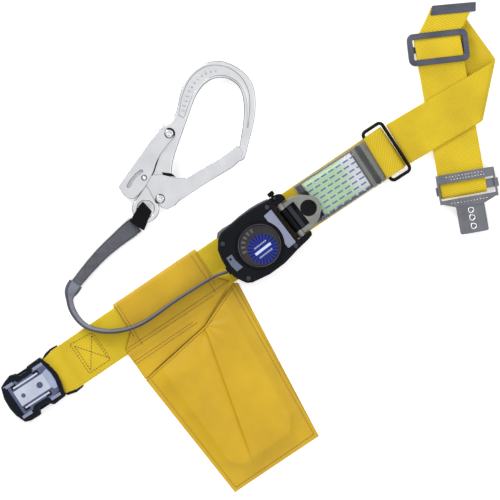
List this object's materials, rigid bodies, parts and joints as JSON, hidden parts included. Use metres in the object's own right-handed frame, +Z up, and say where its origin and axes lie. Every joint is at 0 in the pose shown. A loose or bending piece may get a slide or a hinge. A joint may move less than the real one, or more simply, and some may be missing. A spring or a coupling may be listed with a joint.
{
  "type": "self retracting lifeline",
  "caption": "Webbing retracting lanyard reel on a waist belt, with scaffold hook, shock absorber pack, ring, slider, buckles and cloth pouch, laid flat.",
  "frame": {"origin": "on the floor under the middle of the whole set's bounding box", "axes": "+Z up, +X and +Y along the two long sides of the laid-out set; the belt runs at about 34 degrees to +X"},
  "size_m": [0.5366, 0.5288, 0.0373],
  "materials": {
    "forged_steel": "satin plated forging",
    "plated_sheet": "plated sheet steel",
    "black_wire": "black coated wire",
    "dark_steel": "spring steel",
    "cast_alloy": "blasted casting",
    "smoke_plastic": "smoke-tinted transparent",
    "black_plastic": "moulded",
    "grey_plastic": "moulded",
    "disc_print": "printed",
    "clear_vinyl": "clear sheet",
    "label_print": "printed label",
    "yellow_webbing": "woven",
    "yellow_cloth": "plain woven nylon",
    "grey_webbing": "woven",
    "black_tape": "woven",
    "white_plate": "moulded"
  },
  "bodies": {
    "root": {"absorber_label": "label_print", "absorber_neck": "grey_webbing", "absorber_sheath": "clear_vinyl", "absorber_webbing": "grey_webbing", "back_cover": "black_plastic", "belt_keeper": "plated_sheet", "belt_ring": "black_wire", "belt_webbing": "yellow_webbing", "bracket_pin": "plated_sheet", "bracket_roller": "black_plastic", "bracket_webbing": "black_tape", "buckle_back": "smoke_plastic", "buckle_bar": "plated_sheet", "buckle_front": "smoke_plastic", "buckle_latch_plate": "white_plate", "button_springs": "dark_steel", "cover_screws": "plated_sheet", "disc_bezel": "black_plastic", "end_strap": "yellow_webbing", "exit_guide": "black_plastic", "frame_corner": "grey_plastic", "frame_strip": "grey_plastic", "front_strap": "yellow_webbing", "knob_spring": "dark_steel", "label_disc": "disc_print", "lanyard_webbing": "grey_webbing", "pouch_back": "yellow_cloth", "pouch_front": "yellow_cloth", "pouch_loop": "yellow_cloth", "power_spring": "dark_steel", "ratchet_ring": "dark_steel", "ring_loop": "yellow_webbing", "smoke_cover": "smoke_plastic", "spring_case": "black_plastic", "strap_tip": "plated_sheet", "tongue_plate": "plated_sheet"},
    "hook": {"hook_body": "forged_steel", "gate_pivot_rivet": "plated_sheet", "lever_pivot_rivet": "plated_sheet", "gate_spring": "dark_steel", "lever_spring": "dark_steel", "webbing_eye_loop": "black_tape", "lanyard_sleeve": "clear_vinyl"},
    "gate": {"hook_gate": "plated_sheet", "lock_pin": "plated_sheet"},
    "lever": {"lock_lever": "plated_sheet"},
    "drum": {"webbing_drum": "black_plastic", "wound_webbing": "grey_webbing", "drum_shaft": "plated_sheet", "pawl_pins": "dark_steel"},
    "pawl_a": {"pawl_1": "dark_steel"},
    "pawl_b": {"pawl_2": "dark_steel"},
    "bracket": {"link_bracket": "cast_alloy"},
    "knob": {"stop_knob": "black_plastic"},
    "slider": {"strap_slider": "plated_sheet"},
    "tongue_bar": {"tongue_bar": "plated_sheet"},
    "button_upper": {"release_button_upper": "black_plastic"},
    "button_lower": {"release_button_lower": "black_plastic"}
  },
  "joints": [
    {"name": "hook_pull", "type": "slide", "parent": "root", "child": "hook", "axis": [-0.9659, 0.2588, 0], "range_m": [0, 1.1519], "stiffness_N_per_m": 4, "springref_m": -1, "deforming": ["lanyard_webbing"]},
    {"name": "gate_swing", "type": "hinge", "parent": "hook", "child": "gate", "pos_m": [-0.09696, 0.05214, 0.0088], "axis": [0, 0, 1], "range_deg": [0, 35], "stiffness_Nm_per_rad": 0.15, "springref_deg": -22.92},
    {"name": "lever_press", "type": "hinge", "parent": "hook", "child": "lever", "pos_m": [-0.08723, 0.12228, 0.0088], "axis": [0, 0, 1], "range_deg": [0, 8], "stiffness_Nm_per_rad": 0.2, "springref_deg": -22.92},
    {"name": "drum_spin", "type": "hinge", "parent": "root", "child": "drum", "pos_m": [0.01, 0.0019, 0.0195], "axis": [0, 0, 1], "range_deg": [-3300, 0]},
    {"name": "pawl_a_swing", "type": "hinge", "parent": "drum", "child": "pawl_a", "pos_m": [0.02408, 0.01246, 0.0085], "axis": [0, 0, -1], "range_deg": [0, 8], "stiffness_Nm_per_rad": 0.01, "springref_deg": -17.19},
    {"name": "pawl_b_swing", "type": "hinge", "parent": "drum", "child": "pawl_b", "pos_m": [-0.00409, -0.00866, 0.0085], "axis": [0, 0, -1], "range_deg": [0, 8], "stiffness_Nm_per_rad": 0.01, "springref_deg": -17.19},
    {"name": "bracket_swing", "type": "hinge", "parent": "root", "child": "bracket", "pos_m": [0.04411, 0.02808, 0.0225], "axis": [0.6088, -0.7934, 0], "range_deg": [0, 90]},
    {"name": "knob_press", "type": "slide", "parent": "root", "child": "knob", "axis": [0.6088, -0.7934, 0], "range_m": [0, 0.0015], "stiffness_N_per_m": 400, "springref_m": -0.002},
    {"name": "slider_slide", "type": "slide", "parent": "root", "child": "slider", "axis": [0.1736, -0.9848, 0], "range_m": [0, 0.012]},
    {"name": "tongue_bar_slide", "type": "slide", "parent": "root", "child": "tongue_bar", "axis": [-0.1736, 0.9848, 0], "range_m": [0, 0.004]},
    {"name": "button_upper_press", "type": "slide", "parent": "root", "child": "button_upper", "axis": [0.5446, -0.8387, 0], "range_m": [0, 0.003], "stiffness_N_per_m": 400, "springref_m": -0.003},
    {"name": "button_lower_press", "type": "slide", "parent": "root", "child": "button_lower", "axis": [-0.5446, 0.8387, 0], "range_m": [0, 0.003], "stiffness_N_per_m": 400, "springref_m": -0.003}
  ],
  "couplings": [
    {"joint": "drum_spin", "follows": "hook_pull", "rad_per_m": -50}
  ]
}
